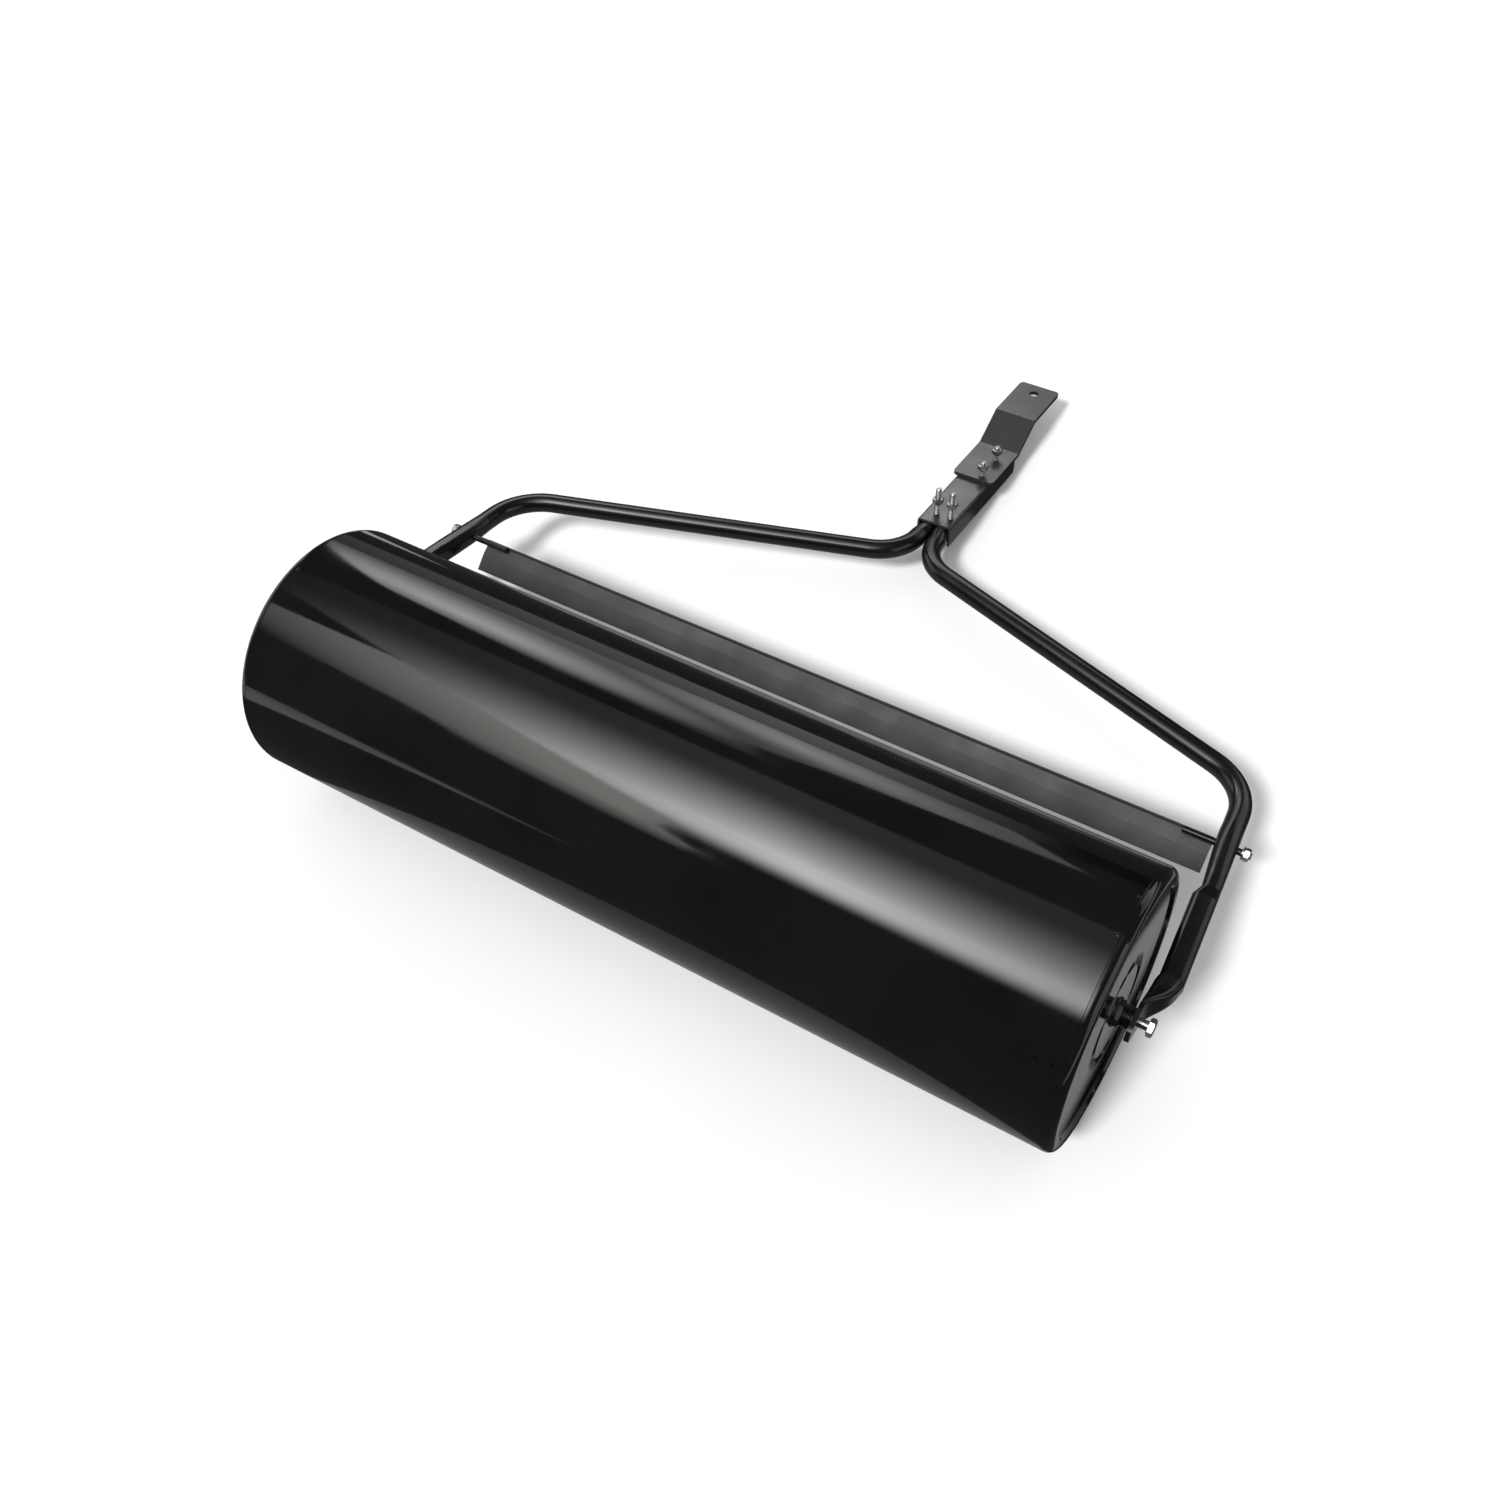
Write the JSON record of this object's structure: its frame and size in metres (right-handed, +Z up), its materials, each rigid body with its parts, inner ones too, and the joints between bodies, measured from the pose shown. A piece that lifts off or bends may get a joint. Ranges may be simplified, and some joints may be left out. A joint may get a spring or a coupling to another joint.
{
  "type": "lawn roller",
  "caption": "Tow-behind lawn roller: hollow steel drum turning on axle bolts in a bent tube drawbar frame, with a cross bar and a stepped hitch plate.",
  "frame": {"origin": "on the ground under the middle of the overall box", "axes": "+X along the drum's axle away from the filler end, +Y forward to the hitch, +Z up"},
  "size_m": [1.09, 1.0702, 0.3],
  "materials": {
    "drum_enamel": "gloss black enamel",
    "tube_enamel": "gloss black powder coat",
    "plate_enamel": "satin black powder coat",
    "hub_black": "satin black",
    "zinc_plate": "bright zinc plate",
    "plug_plastic": "matt black",
    "gasket_rubber": "matt"
  },
  "bodies": {
    "frame": {"arm_tube_left": "tube_enamel", "arm_tube_right": "tube_enamel", "drawbar_channel": "plate_enamel", "hitch_plate": "plate_enamel", "cross_bar": "plate_enamel", "drawbar_bolts": "zinc_plate", "drawbar_nuts": "zinc_plate", "drawbar_washers": "zinc_plate", "hitch_bolts": "zinc_plate", "hitch_nuts": "zinc_plate", "hitch_washers": "zinc_plate", "bar_stud_left": "hub_black", "bar_stud_right": "hub_black", "bar_nuts": "zinc_plate", "bar_washers": "zinc_plate"},
    "drum": {"drum_shell": "drum_enamel", "end_cap_left": "drum_enamel", "end_cap_right": "drum_enamel", "hub_boss_left": "hub_black", "hub_boss_right": "hub_black", "spacer_washers_left": "hub_black", "spacer_washers_right": "hub_black", "axle_bolt_left": "zinc_plate", "axle_bolt_right": "zinc_plate", "filler_bush": "hub_black", "plug_gasket": "gasket_rubber"},
    "plug": {"filler_plug": "plug_plastic"}
  },
  "joints": [
    {"name": "drum_spin", "type": "hinge", "parent": "frame", "child": "drum", "pos_m": [0, -0.38507, 0.15], "axis": [1, 0, 0], "continuous": true},
    {"name": "plug_out", "type": "slide", "parent": "drum", "child": "plug", "axis": [-1, 0, 0], "range_m": [0, 0.03]}
  ]
}
